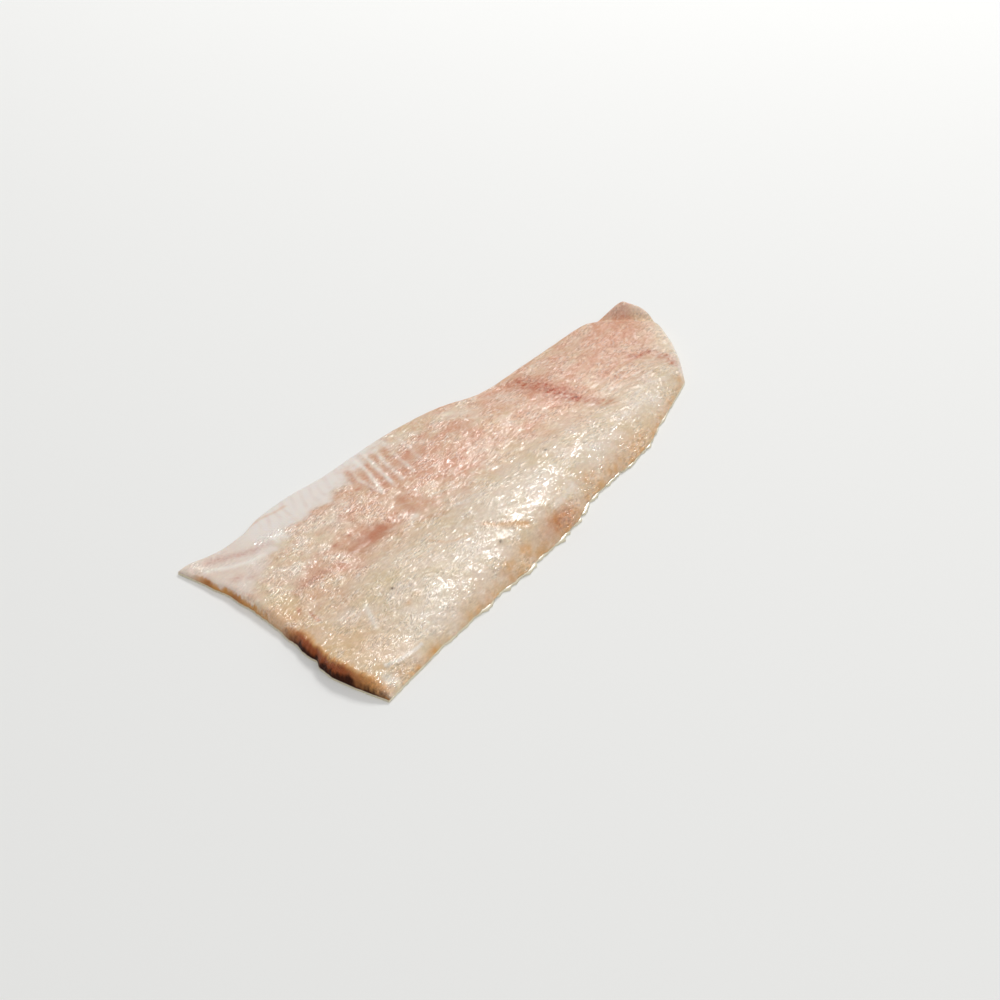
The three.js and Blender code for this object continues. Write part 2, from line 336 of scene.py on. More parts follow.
# Fine relief of the flesh.
FILM_SMOOTHS, FILM_STEP, RIB_DEPTH = 0.9, 0.14, 0.16
STRIA_SPACING, STRIA_SLANT, STRIA_DEPTH = 1.9, 0.4, 0.09
FIBRE_SHARE, STRAND_SHARE, STRAND_WIDENS = 0.6, 0.4, 1.4
CRINKLE_LENGTH, CRINKLE_WIDTH = 4.0, 2.2
FIBRE_SEED, STRAND_SEED, CRINKLE_SEED = 51, 52, 57

# The skin: how far it reaches into the flesh, how its rim fades at the ends, its scales and dark seams.
SKIN_OVERLAP, RIM_FADE = 0.05, 0.25
SCALE_NARROWS, SCALE_ROUND = 0.8, 2.6
SEAM, SEAM_DEPTHS = 0.6, (0.5, 0.1)

# Tints of the flesh, in the order in which each lies over those before it, and its finishes.
FLESH_TINTS = ("pink", "flecks", "film", "amber", "rust", "blood", "brown", "fat")
FLESH_FINISHES = ("bumps", "cracks", "wet")

# Patterns of the flesh: scale along the fish, size, detail and distortion. Real fibres are about 0.1 mm wide,
# too fine to show, so specks, domes and dashes are drawn coarser. Then the uses of a pattern: the part of it
# that counts, and the values at both ends of that part.
FLESH_PATTERNS = {
    "specks": (0.32, 0.8, 1.0, 0.5), "domes": (0.42, 1.9, 1.0, 1.2), "dashes": (0.42, 1.15, 1.0, 0.8),
    "mottles": (1.0, 11, 4.0, 0.0), "grain": (1.0, 1.2, 2.0, 0.0),
}
# Brightness follows the bumps' specks: painted light on their crests, painted shade in their gaps.
FLESH_RANGES = {
    "straw": ("mottles", 0.35, 0.65, 0.0, 1.0), "pink": ("specks", 0.35, 0.65, 1.2, 0.8),
    "blood": ("grain", 0.35, 0.65, 0.7, 1.3), "painted relief light and shade": ("specks", 0.3, 0.7, 0.78, 1.26),
    "roughness": ("grain", 0.3, 0.7, 0.3, 0.46),
}
DOME_MIDDLE = 0.5
# Flecks: partly white tissue, partly painted glints.
FLECK_CROWDING, FLECK_FROM, FLECK_TO, FLECK_STRENGTH = 0.12, 0.58, 0.82, 0.42
FLESH_BUMP, WATER_BUMP = 0.3, 0.7
SKIN_BLOTCH, SKIN_GRAIN, SKIN_BUMP, SKIN_METAL = 6, 0.9, 0.15, 0.5

# Places of the colour sockets on a Mix node set to colours.
MIX_A, MIX_B, MIX_RESULT = 6, 7, 2

# The camera that took the picture, in the part's frame. Lights have a place, a side and a power in watts.
CAMERA_PLACE = (-809.4, -458.3, 524.4)
CAMERA_LOOK = (0.7592, 0.4167, -0.4999)
CAMERA_LENS = 98.27
LIGHTS = {"window": ((1520, 440, 1220), 440, 19.0), "overhead": ((-400, -700, 1550), 1600, 10.5)}
SKY_STRENGTH = 0.41
FLOOR_SIDE, FLOOR_ROUGHNESS = 12000, 0.9


def linear(code):
    """A hex sRGB colour as linear values: a straight toe below 0.04045, then a power of 2.4."""
    values = np.array([int(code[i:i + 2], 16) for i in (1, 3, 5)]) / 255
    return tuple(np.where(values <= 0.04045, values / 12.92, ((values + 0.055) / 1.055) ** 2.4))


def bell(distance, spread):
    """A bell curve of height 1: e to the minus square of distance over spread."""
    return np.exp(-((distance / spread) ** 2))


def wave(distance, length):
    """A wave of height 1 with a crest at 0."""
    return np.cos(2 * math.pi * distance / length)


def ramp(value, start, stop, least=0.0):
    """A smooth step: least before start, 1 past stop, and the cubic 3t² - 2t³ of the way between them."""
    t = np.clip((value - start) / (stop - start), 0, 1)
    return least + (1 - least) * t * t * (3 - 2 * t)


def blend(ends, share):
    """The value at a share of the way from the first of two ends to the second."""
    return ends[0] + (ends[1] - ends[0]) * share


def quarter_round(distance, reach):
    """A quarter circle: 0 at an edge, 1 from reach inwards."""
    left = 1 - np.clip(distance / reach, 0, 1)
    return np.sqrt(1 - left * left)


def soft_round(distance, reach):
    """A flat arch: 0 at an edge, rising in a straight slope that eases off to 1 from reach inwards."""
    left = 1 - np.clip(distance / reach, 0, 1)
    return 1 - left * left


def spline(values, share):
    """A smooth line through values at even steps: a cubic between neighbours, with their mean slopes."""
    last = len(values) - 1
    place = np.clip(share, 0, 1) * last
    i = np.minimum(np.floor(place).astype(int), last - 1)
    w = place - i
    if values.ndim > 1:
        w = w[..., None]
    start, stop = values[i], values[i + 1]
    slope_in = (stop - values[np.maximum(i - 1, 0)]) / 2
    slope_out = (values[np.minimum(i + 2, last)] - start) / 2
    cubic = 2 * start - 2 * stop + slope_in + slope_out
    square = 3 * stop - 3 * start - 2 * slope_in - slope_out
    return ((cubic * w + square) * w + slope_in) * w + start


def noise(u, v, seed):
    """Gradient noise, about -1 to 1: a random slope at each whole u and v, blended between them."""
    turn = np.random.default_rng(seed).uniform(0, 2 * math.pi, (NOISE_SIDE, NOISE_SIDE))
    i, j = np.floor(u).astype(int), np.floor(v).astype(int)
    fu, fv = u - i, v - j

    def corner(di, dj):
        angle = turn[(i + di) % NOISE_SIDE, (j + dj) % NOISE_SIDE]
        return np.cos(angle) * (fu - di) + np.sin(angle) * (fv - dj)

    eu = fu ** 3 * (fu * (6 * fu - 15) + 10)
    ev = fv ** 3 * (fv * (6 * fv - 15) + 10)
    near = corner(0, 0) * (1 - eu) + corner(1, 0) * eu
    far = corner(0, 1) * (1 - eu) + corner(1, 1) * eu
    return math.sqrt(2) * (near * (1 - ev) + far * ev)


def folded(u, v, seed):
    """Noise folded at 0 into ridges: 1 minus twice its size."""
    return 1 - 2 * np.abs(noise(u, v, seed))


def mottled(place, name):
    """The plain value of a name plus its noises."""
    plain, *rows = NOISES[name]
    return plain + sum(
        share * noise(place.x / length, place.y / width, seed) for length, width, seed, share in rows
    )


def zone(place, name):
    """The strength of a zone times its smooth steps."""
    share, *steps = ZONES[name]
    for coordinate, *limits in steps:
        share = share * ramp(getattr(place, coordinate), *limits)
    return share


def band(place, name):
    """The strength of a band times its bell."""
    strength, coordinate, middle, spread = BANDS[name]
    return strength * bell(getattr(place, coordinate) - middle, spread)


def spot(place, x, y, length, width, strength=1, turn=0):
    """A soft oval patch: a bell of the distance from its middle along and across a turned axis."""
    cosine, sine = math.cos(math.radians(turn)), math.sin(math.radians(turn))
    dx, dy = place.x - x, place.y - y
    along, across = dx * cosine + dy * sine, dy * cosine - dx * sine
    return strength * bell(np.hypot(along / length, across / width), 1)


def trail(place, width, strength, points):
    """A soft line: a bell of the distance to the nearest stretch of a chain of points."""
    nearest = np.full(place.x.shape, np.inf)
    for (x0, y0), (x1, y1) in zip(points[:-1], points[1:]):
        dx, dy = x1 - x0, y1 - y0
        share = np.clip(((place.x - x0) * dx + (place.y - y0) * dy) / (dx ** 2 + dy ** 2), 0, 1)
        nearest = np.minimum(nearest, np.hypot(place.x - x0 - share * dx, place.y - y0 - share * dy))
    return strength * bell(nearest, width)


def marked(place, name, join=np.maximum):
    """Patches and lines of a name: the strongest of them at each place, or how else they are joined."""
    total = np.zeros(place.x.shape)
    for row in PATCHES.get(name, ()):
        total = join(total, spot(place, *row))
    for row in LINES.get(name, ()):
        total = join(total, trail(place, *row))
    return total


def strongest(*shares):
    """The strongest of some shares at each place, from 0 to 1."""
    return np.clip(np.maximum.reduce(shares), 0, 1)


def stations(reach_in, count_in, count_between, reach_out, count_out):
    """Shares from 0 to 1: steps of a quarter circle over the round at each end, even steps between."""
    turn_in = np.linspace(0, math.pi / 2, count_in, endpoint=False)
    turn_out = np.linspace(0, math.pi / 2, count_out, endpoint=False)
    between = np.linspace(reach_in, 1 - reach_out, count_between + 1)
    start = reach_in * (1 - np.cos(turn_in))
    stop = 1 - reach_out * (1 - np.cos(turn_out))
    return np.concatenate([start, between, stop[::-1]])


def lay_out(along, across):
    """Places seen from above: the Coons patch of the four edges, roughened at its rim.

    The patch adds the blend of back and belly edge to that of head and tail end, less that of the corners.
    """
    back, belly = spline(BACK_EDGE, along), spline(BELLY_EDGE, along)
    head, tail = spline(HEAD_CUT, across), spline(TAIL_CUT, across)
    u, v = along[..., None], across[..., None]
    corners = (1 - u) * blend(HEAD_CUT[[0, -1]], v) + u * blend(TAIL_CUT[[0, -1]], v)
    point = (1 - v) * back + v * belly + (1 - u) * head + u * tail - corners
    x, y = point[..., 0], point[..., 1]
    width = np.linalg.norm(belly - back, axis=-1)
    length = np.linalg.norm(tail - head, axis=-1)
    waves = sum(wave(x, one) for one in WAVE_LENGTHS)
    between = np.sin(math.pi * along)
    y = y + WAVE_DEPTH * waves * between * bell(across, WAVE_REACH)
    for where, out, reach in BELLY_BULGES:
        y = y + out * bell(x - where, reach) * bell(1 - across, BULGE_REACH)
    at_head = bell(along, RAG_REACH) * np.sin(math.pi * across)
    for seed, (one, depth) in enumerate(RAGS):
        y = y + depth * noise(x / one, 0 * x, seed) * between * bell(across, RAG_REACH)
        x = x + depth * noise(y / one, 0 * y, seed + HEAD_RAG_SEED) * at_head
    x = x + NICK_DEPTH * bell(across - NICK_PLACE, NICK_SPREAD) * bell(along, NICK_REACH)
    inwards = {
        "from_back": across * width, "from_belly": (1 - across) * width,
        "from_head": along * length, "from_tail": (1 - along) * length,
    }
    nearest = np.minimum.reduce(list(inwards.values()))
    past = (y - CREASE_Y) * math.cos(CREASE_ANGLE) - (x - CREASE_X) * math.sin(CREASE_ANGLE)
    return SimpleNamespace(
        along=along, across=across, x=x, y=y, from_edge=nearest, past_crease=past, **inwards
    )


def fine_grid():
    """Places of the fine grid, a row for each station along the fillet and a column for each across it."""
    rows = stations(HEAD_ROUND / GRID_LENGTH, HEAD_STEPS, LENGTH_STEPS, TAIL_ROUND / GRID_LENGTH, TAIL_STEPS)
    columns = stations(
        BACK_ROUND / GRID_WIDTH, BACK_STEPS, WIDTH_STEPS, BELLY_ROUND / GRID_WIDTH, BELLY_STEPS
    )
    return lay_out(*np.meshgrid(rows, columns, indexing="ij"))


def fullness(place):
    """Share of its height that the flesh has: a flat arch at the back edge, quarter rounds at the rest."""
    sides = soft_round(place.from_back, BACK_ROUND) * quarter_round(place.from_belly, BELLY_ROUND)
    ends = quarter_round(place.from_head, HEAD_ROUND) * quarter_round(place.from_tail, TAIL_ROUND)
    return sides * ends


def lift(place):
    """How far the tail's corner is bent up: a smooth step past the crease."""
    return CORNER_LIFT * ramp(place.past_crease, 0, CORNER_REACH)


def muscles(place):
    """Height of the flesh: a slab between the two edges, plus bells for loin, belly muscle and shoulder, less
    those for midline, pressed hollow and crease."""
    along, across = place.along, place.across
    slab = spline(BACK_EDGE_HEIGHT, along) * (1 - across) + spline(BELLY_EDGE_HEIGHT, along) * across
    lumps = LUMP_HEIGHT * wave(place.x - LUMP_CREST, LUMP_LENGTH)
    loin = (spline(LOIN_HEIGHT, along) + lumps) * band(place, "loin")
    belly = spline(BELLY_MUSCLE_HEIGHT, along) * bell(across - BELLY_MUSCLE_PLACE, BELLY_MUSCLE_SPREAD)
    furrow = MIDLINE_DEPTH * bell(across - blend(MIDLINE_PLACES, along), MIDLINE_SPREAD)
    crease = CREASE_DEPTH * bell(place.past_crease, CREASE_WIDTH)
    return slab + loin + belly + spot(place, *SHOULDER) - furrow - spot(place, *HOLLOW) - crease


def film_cover(place):
    """The belly film: a step across its ragged border, thinner at the head, fading past the ribs."""
    past = place.y - np.interp(place.x, *FILM_BORDER.T) + mottled(place, "film")
    return zone(place, "film") * ramp(past, -FILM_SOFTNESS, FILM_SOFTNESS)


def film_stria(place):
    """Striations of the film: a slanted wave of height 1."""
    return wave(place.x + STRIA_SLANT * place.y, STRIA_SPACING)


def flake_lines(place, spacing):
    """Flakes of the loin: a leaning wave across slanted lines that wander, -1 to 1."""
    past = place.y * math.cos(FLAKE_TURN) - place.x * math.sin(FLAKE_TURN) + mottled(place, "flakes")
    phase = 2 * math.pi * past / spacing
    return (np.sin(phase) + FLAKE_LEAN * np.sin(2 * phase)) / FLAKE_PEAK


def flake_tint(place, side):
    """Thin broken lines on the flakes' crests (side 1) or between them (side -1), in an oval on the loin."""
    line = ramp(side * flake_lines(place, FLAKE_TINT_SPACING), *FLAKE_TINT_LINE)
    return line * ramp(mottled(place, "flake gaps"), *FLAKE_TINT_GAPS) * marked(place, "flake tints")


def pink_share(place, film):
    """Pink: mottled on the belly side of a wandering border, a little on the loin, deeper in places, less
    what is yellowed and a share of what lies under the film."""
    past = place.y - np.interp(place.x, *PINK_BORDER.T) + mottled(place, "pink border")
    deep = zone(place, "deep tail") + marked(place, "deep pink", np.add)
    belly = ramp(past, -PINK_SOFTNESS, PINK_SOFTNESS) * (mottled(place, "pink") + deep)
    yellow = zone(place, "yellow head") + marked(place, "yellow", np.add)
    return np.clip(PINK_LOIN + belly + marked(place, "rosy") - yellow, 0, 1) * (1 - FILM_OVER_PINK * film)


def blood_share(place, film, ribs):
    """Blood: the strongest of speckled streaks, lines and patches, reds between the ribs and the flakes, a
    blush and furrows of the film, and the tail's bent corner."""
    speckle = mottled(place, "blood")
    streaks = [
        trail(place, width, 1, points) * (strength + share * speckle)
        for share, width, strength, points in BLOOD_STREAKS
    ]
    turn = math.radians(RIB_TURN)
    across_ribs = place.x * math.sin(turn) - place.y * math.cos(turn) + mottled(place, "furrow bends")
    furrows = ramp(-wave(across_ribs, FURROW_SPACING), *FURROW_FLOOR) * mottled(place, "furrows")
    return strongest(
        *streaks,
        marked(place, "blood"),
        marked(place, "rib reds") * (RIB_RED + RIB_RED_SPECKLE * speckle) * (1 - ribs),
        FLAKE_RED * flake_tint(place, -1),
        zone(place, "film blush") * film,
        zone(place, "furrows") * film * furrows,
        zone(place, "red corner"),
    )


def edge_tints(place, height):
    """Amber, rust and brown, by name.

    All three lie on the head cut by how far up it a place is: its height, then the distance in, plus uneven
    strokes. Brown is at the foot, partly dark flesh and partly painted contact shadow, and rust on the face,
    red-brown flesh partly darkened as painted shade, with amber above, further up on the loin. Amber is also
    a mottled band along the back edge, partly painted shade on its slope, with blotches, and brown a faint
    shade over the tail.
    """
    strokes = sum(
        depth * noise(place.y / width, height / rise, seed) for width, rise, seed, depth in CUT_STROKES
    )
    up = height + np.maximum(place.from_head - CUT_LEAN, 0) + strokes
    loin = zone(place, "cut loin")
    corners = np.maximum(zone(place, "back corner"), zone(place, "cut face")) * zone(place, "belly corner")
    at_cut = blend(AMBER_CUT, loin) * ramp(up, blend(AMBER_NONE, loin), blend(AMBER_FULL, loin)) * corners
    # Amber on the slope down to the back edge: partly the fatty edge tint, partly painted shade.
    slope = zone(place, "slope") * band(place, "slope") * mottled(place, "slope")
    # Rust on the cut's face: red-brown flesh, darkened further as painted shade.
    face = zone(place, "rust") * ramp(up, *RUST_AND_SHADE_UP) * loin
    belly = marked(place, "belly rust") * ramp(height, *RUST_BELLY_UP)
    # The head cut's foot: dark brown flesh and painted contact shadow.
    foot = zone(place, "brown") * ramp(up - band(place, "brown and shadow rise"), *BROWN_AND_SHADOW_UP) * blend(BROWN_AND_SHADOW_CUT, loin)
    blotches = mottled(place, "amber") * np.maximum(marked(place, "amber blotches"), slope)
    return {
        "amber": strongest(blotches, marked(place, "amber"), at_cut * (1 - band(place, "amber gap"))),
        "rust": strongest(np.maximum(face, belly) * corners, marked(place, "rust")),
        "brown": strongest(foot, marked(place, "brown"), zone(place, "tail shade")),
    }


def fat_and_painted_highlight_share(place, ribs, gloss):
    """White tissue and painted highlights: the strongest of ribs, gloss painted white as a highlight, flake
    crests, lines and patches (some of them painted highlights), the back corner (partly a painted highlight),
    dashes in the film painted as glints, waves on the tail's flakes, the tail's pale edge and painted light
    on its bent corner."""
    past = place.y + TAIL_FLAKE_SLANT * place.x + mottled(place, "tail bends")
    flakes = ramp(wave(past, TAIL_FLAKE_SPACING), *TAIL_FLAKE_CREST) * mottled(place, "tail flakes")
    return strongest(
        FAT_RIBS * ribs,
        # Gloss spots painted white: a painted highlight.
        PAINTED_GLOSS_WHITE * gloss,
        FLAKE_WHITE * flake_tint(place, 1),
        marked(place, "fat"),
        # The back corner's white: partly tissue, partly a painted highlight.
        marked(place, "fat corner") * zone(place, "fat corner"),
        # The film's white dashes: painted glints.
        marked(place, "fat dashes") * ramp(film_stria(place), *PAINTED_DASH_CREST),
        marked(place, "tail flakes") * flakes,
        zone(place, "tail edge") * band(place, "tail edge"),
        # Painted light on the bent corner.
        zone(place, "painted light on bent corner"),
    )


def flesh_finish(place, film, blood, gloss):
    """Pale flecks, partly white tissue and partly painted glints, bumps, cracks and wetness, by name.

    Flecks and bumps gather in clusters of noise, less on smooth places. Cracks are deepest along the loin.
    Wetness sums the shares of each kind of place, times what dry places and blood leave of it.
    """
    kinds = {name: marked(place, name) for name in ("calm", "strokes", "tip")}
    kinds["glints"] = np.maximum(ramp(mottled(place, "glints"), *GLINT_RANGE), marked(place, "glints"))
    kinds.update(film=film, gloss=gloss, dull=zone(place, "dull"))
    smooth = strongest(film, marked(place, "smooth"))
    flecks = blend((FLECKS_LEAST, 1), kinds["glints"]) + FLECKS_PAINTED_GLOSS * gloss
    flecks = flecks * zone(place, "flecks") * (1 - FLECKS_DULL * kinds["dull"]) - FLECKS_SMOOTH * smooth
    bumps = (1 - smooth) * blend((BUMPS_LEAST, 1), kinds["glints"])
    bumps = bumps * (1 - BUMPS_CALM * marked(place, "sheen")) * (1 - BUMPS_CALM * kinds["calm"])
    wet = WET_PLAIN + sum(share * kinds[kind] for kind, share in WET_SHARES.items())
    dry = strongest(
        zone(place, "dry face"), zone(place, "dry head"), band(place, "dry back"), band(place, "dry crease"),
        marked(place, "dry"),
    )
    return {
        "flecks": flecks,
        "bumps": strongest(bumps, BUMPS_FILM * kinds["strokes"], BUMPS_FILM * kinds["tip"]),
        "cracks": CRACKS_PLAIN + band(place, "cracks") * (1 - kinds["dull"]),
        "wet": np.clip(wet * (1 - dry) * (1 - DRY_BLOOD * blood), 0, 1),
    }


def flesh_marks(place, height):
    """Shares of each tint and finish on the flesh, and of the ribs, by name."""
    film = film_cover(place)
    ribs = np.clip(marked(place, "ribs") * mottled(place, "ribs"), 0, 1)
    blood = blood_share(place, film, ribs)
    gloss = np.maximum(marked(place, "sheen"), marked(place, "gloss"))
    return {
        "film": film, "ribs": ribs, "blood": blood, "pink": pink_share(place, film),
        "fat": fat_and_painted_highlight_share(place, ribs, gloss),
        **edge_tints(place, height), **flesh_finish(place, film, blood, gloss),
    }


def flesh_relief(place, marks, sizes):
    """Fine height of the flesh: stretched and folded noise for fibres, round noise for lumps, bent folds
    for the loin's crinkles, leaning waves for its flakes, the ribs, the film's step and striations, and small
    tears, folds and ridges, all fading out at the edge."""
    x, y, loin = place.x, place.y, band(place, "loin")
    rough = np.clip(1 - FILM_SMOOTHS * marks["film"] - marked(place, "no relief", np.add), 0, 1)
    fibre = noise(x / sizes.fibre_length, y / sizes.fibre_width, FIBRE_SEED)
    strand = folded(x / sizes.fibre_length, y / (STRAND_WIDENS * sizes.fibre_width), STRAND_SEED)
    bend = mottled(place, "crinkle bends")
    crinkle = folded((x + bend) / CRINKLE_LENGTH, (y - bend) / CRINKLE_WIDTH, CRINKLE_SEED)
    fine = sizes.fibre_depth * (FIBRE_SHARE * fibre + STRAND_SHARE * strand)
    fine = fine + mottled(place, "lumps") + sizes.crinkle_depth * crinkle * loin
    flakes = sizes.flake_depth * flake_lines(place, sizes.flake_spacing) * loin
    film = (STRIA_DEPTH * film_stria(place) * marked(place, "stria") - FILM_STEP) * marks["film"]
    relief = rough * fine + flakes + film + RIB_DEPTH * marks["ribs"] + marked(place, "relief", np.add)
    return relief * zone(place, "relief")


def scales(place, length):
    """Staggered scales in bent rows: the higher of two lattices of domes, which fall from 1 with the squared
    distance from their middles."""
    u = place.x / length + mottled(place, "scale columns")
    v = place.y / (SCALE_NARROWS * length) + mottled(place, "scale rows")
    dome = np.zeros(u.shape)
    for shift in (0.0, 0.5):
        du = (u + shift) % 1 - 0.5
        dv = (v + shift) % 1 - 0.5
        dome = np.maximum(dome, 1 - SCALE_ROUND * (du * du + dv * dv))
    return dome


def skin_rim(place):
    """Share of its overhang that the skin has: ragged along the back edge, less at the head and the tail."""
    ragged = mottled(place, "rim") * zone(place, "rim") * (1 - zone(place, "less rim"))
    return ragged * band(place, "rim") * np.sin(math.pi * place.along) ** RIM_FADE


def add_piece(name, fine, coarse_height, tints, fine_side_up):
    """A closed mesh from a fine grid of points and a coarse one behind it that shares its rim.

    The coarse side takes every fourth point of the fine grid at its own heights. Its cells at the rim are
    polygons that take in the fine points along it, so that no crack is left.
    """
    rows, columns = fine.shape[0] - 1, fine.shape[1] - 1
    if rows % COARSE or columns % COARSE:
        raise ValueError(f"{name}: the grid's steps, {rows} and {columns}, have to be whole fours")
    index = np.arange((rows + 1) * (columns + 1)).reshape(rows + 1, columns + 1)
    inner = fine[COARSE:-COARSE:COARSE, COARSE:-COARSE:COARSE].copy()
    inner[..., 2] = coarse_height[COARSE:-COARSE:COARSE, COARSE:-COARSE:COARSE]
    low = index[::COARSE, ::COARSE].copy()
    low[1:-1, 1:-1] = index.size + np.arange(inner[..., 0].size).reshape(inner.shape[:2])
    points = np.concatenate([fine.reshape(-1, 3), inner.reshape(-1, 3)])
    faces = [grid_cells(index).reshape(-1, 4)] + [cells[:, ::-1] for cells in coarse_cells(index, low)]
    if not fine_side_up:
        faces = [cells[:, ::-1] for cells in faces]
    mesh = bpy.data.meshes.new(name)
    fill_mesh(mesh, points, faces)
    for tint, values in tints.items():
        spread = np.zeros(len(points), np.float32)
        spread[:values.size] = values.ravel()
        mesh.attributes.new(tint, "FLOAT", "POINT").data.foreach_set("value", spread)
    piece = bpy.data.objects.new(name, mesh)
    bpy.context.scene.collection.objects.link(piece)
    return piece


def grid_cells(index):
    """The four corner numbers of each cell of a grid."""
    return np.stack([index[:-1, :-1], index[1:, :-1], index[1:, 1:], index[:-1, 1:]], -1)


def coarse_cells(index, low):
    """Cells of the coarse grid as arrays of corner numbers, seen from the fine side: the inner quads, those
    at the rim with the fine points of one side, and the four at the corners with those of two."""
    steps = np.arange(1, COARSE)
    quads = grid_cells(low)
    rows, columns = (COARSE * np.arange(count)[:, None] for count in quads.shape[:2])
    on_back = index[rows + steps, 0]
    on_belly = index[rows + steps, -1][:, ::-1]
    on_head = index[0, columns + steps][:, ::-1]
    on_tail = index[-1, columns + steps]
    sides = [
        (quads[:, 0], on_back), (quads[-1, :], on_tail), (quads[:, -1], on_belly), (quads[0, :], on_head),
    ]
    cells = [quads[1:-1, 1:-1].reshape(-1, 4)]
    for side, (corners, between) in enumerate(sides):
        turned = np.roll(corners, -side, axis=1)
        cells.append(np.concatenate([turned[:, :1], between, turned[:, 1:]], axis=1)[1:-1])
    rim = [
        (quads[0, 0], 3, on_head[0], on_back[0]), (quads[-1, 0], 0, on_back[-1], on_tail[0]),
        (quads[-1, -1], 1, on_tail[-1], on_belly[-1]), (quads[0, -1], 2, on_belly[0], on_head[-1]),
    ]
    for corners, side, first, second in rim:
        turned = np.roll(corners, -side)
        cells.append(np.concatenate([turned[:1], first, turned[1:2], second, turned[2:]])[None])
    return cells


def fill_mesh(mesh, points, faces):
    """Puts points and faces, one array for each number of corners, into a smooth-shaded mesh."""
    corners = np.concatenate([cells.ravel() for cells in faces])
    totals = np.concatenate([np.full(len(cells), cells.shape[1]) for cells in faces])
    mesh.vertices.add(len(points))
    mesh.vertices.foreach_set("co", (MM * points).astype(np.float32).ravel())
    mesh.loops.add(len(corners))
    mesh.loops.foreach_set("vertex_index", corners.astype(np.int32))
    mesh.polygons.add(len(totals))
    mesh.polygons.foreach_set("loop_start", (np.cumsum(totals) - totals).astype(np.int32))
    mesh.polygons.foreach_set("use_smooth", np.ones(len(totals), bool))
    mesh.update(calc_edges=True)
    if mesh.validate():
        raise ValueError(f"{mesh.name}: the mesh had faults")


def add_node(tree, kind, inputs, output=0, **settings):
    """Adds a node and gives back one of its outputs. Settings go to its properties, and an input takes
    a value or another node's output."""
    made = tree.nodes.new(kind)
    for name, value in settings.items():
        setattr(made, name, value)
    for name, value in inputs.items():
        if isinstance(value, bpy.types.NodeSocket):
            tree.links.new(value, made.inputs[name])
        else:
            made.inputs[name].default_value = value
    return made.outputs[output] if made.outputs else None


def opaque(colour):
    """A colour property with full alpha, as a node's socket takes it."""
    return (*colour, 1.0)


def empty_material(name):
    """A new material and its node tree, with no nodes in it."""
    material = bpy.data.materials.new(name)
    material.use_nodes = True
    material.node_tree.nodes.clear()
    return material, material.node_tree


def flesh_material(colours):
    """Raw whitefish flesh, cut with a knife: moist, slightly see-through muscle. To the eye, soft colour
    under a thin film of water that breaks the light into small sparkles along the fibres."""
    material, tree = empty_material("raw_whitefish_flesh")
    place = add_node(tree, "ShaderNodeTexCoord", {}, "Object")
    patterns, ranges, shares = {}, {}, {}
    for name, (along, size, detail, distortion) in FLESH_PATTERNS.items():
        drawn = add_node(tree, "ShaderNodeMapping", {"Vector": place, "Scale": (along, 1, 1)})
        patterns[name] = add_node(
            tree, "ShaderNodeTexNoise",
            {"Vector": drawn, "Scale": 1 / (size * MM), "Detail": detail, "Distortion": distortion}, "Fac",
        )
    for name, (pattern, low, high, start, stop) in FLESH_RANGES.items():
        ranges[name] = add_node(
            tree, "ShaderNodeMapRange",
            {"Value": patterns[pattern], "From Min": low, "From Max": high, "To Min": start, "To Max": stop},
        )
    for name in (*FLESH_TINTS, *FLESH_FINISHES):
        shares[name] = add_node(tree, "ShaderNodeAttribute", {}, "Fac", attribute_name=name)
    crowded = add_node(
        tree, "ShaderNodeMath", {0: shares["flecks"], 1: FLECK_CROWDING, 2: patterns["dashes"]},
        operation="MULTIPLY_ADD",
    )
    shares["flecks"] = add_node(
        tree, "ShaderNodeMapRange",
        {"Value": crowded, "From Min": FLECK_FROM, "From Max": FLECK_TO, "To Max": FLECK_STRENGTH},
    )
    for tint in ("pink", "blood"):
        shares[tint] = add_node(
            tree, "ShaderNodeMath", {0: shares[tint], 1: ranges[tint]}, operation="MULTIPLY", use_clamp=True
        )
    colour = opaque(colours.cream)
    for tint, share in {"straw": ranges["straw"], **{tint: shares[tint] for tint in FLESH_TINTS}}.items():
        colour = add_node(
            tree, "ShaderNodeMix", {0: share, MIX_A: colour, MIX_B: opaque(getattr(colours, tint))},
            MIX_RESULT, data_type="RGBA",
        )
    # Painted light on the bumps' crests and painted shade in their gaps.
    colour = add_node(
        tree, "ShaderNodeHueSaturation",
        {"Color": colour, "Value": ranges["painted relief light and shade"], "Fac": shares["bumps"]},
    )
    middle = add_node(tree, "ShaderNodeMath", {0: patterns["domes"], 1: DOME_MIDDLE}, operation="SUBTRACT")
    folds = add_node(tree, "ShaderNodeMath", {0: middle}, operation="ABSOLUTE")
    uneven = add_node(
        tree, "ShaderNodeMath", {0: folds, 1: shares["cracks"], 2: patterns["specks"]},
        operation="MULTIPLY_ADD",
    )
    height = add_node(tree, "ShaderNodeMath", {0: uneven, 1: shares["bumps"]}, operation="MULTIPLY")
    bump, ripples = (
        add_node(tree, "ShaderNodeBump", {"Height": height, "Strength": 1.0, "Distance": depth * MM})
        for depth in (FLESH_BUMP, WATER_BUMP)
    )
    shader = add_node(tree, "ShaderNodeBsdfPrincipled", {
        "Base Color": colour,
        "Roughness": ranges["roughness"],
        "IOR": 1.38,
        "Subsurface Weight": 0.2,
        "Subsurface Radius": (1.0, 0.45, 0.25),
        "Subsurface Scale": 1.2 * MM,
        "Specular IOR Level": 0.05,
        "Coat Weight": shares["wet"],
        "Coat Roughness": 0.055,
        "Coat IOR": 1.33,
        "Normal": bump,
        "Coat Normal": ripples,
    })
    add_node(tree, "ShaderNodeOutputMaterial", {"Surface": shader})
    return material


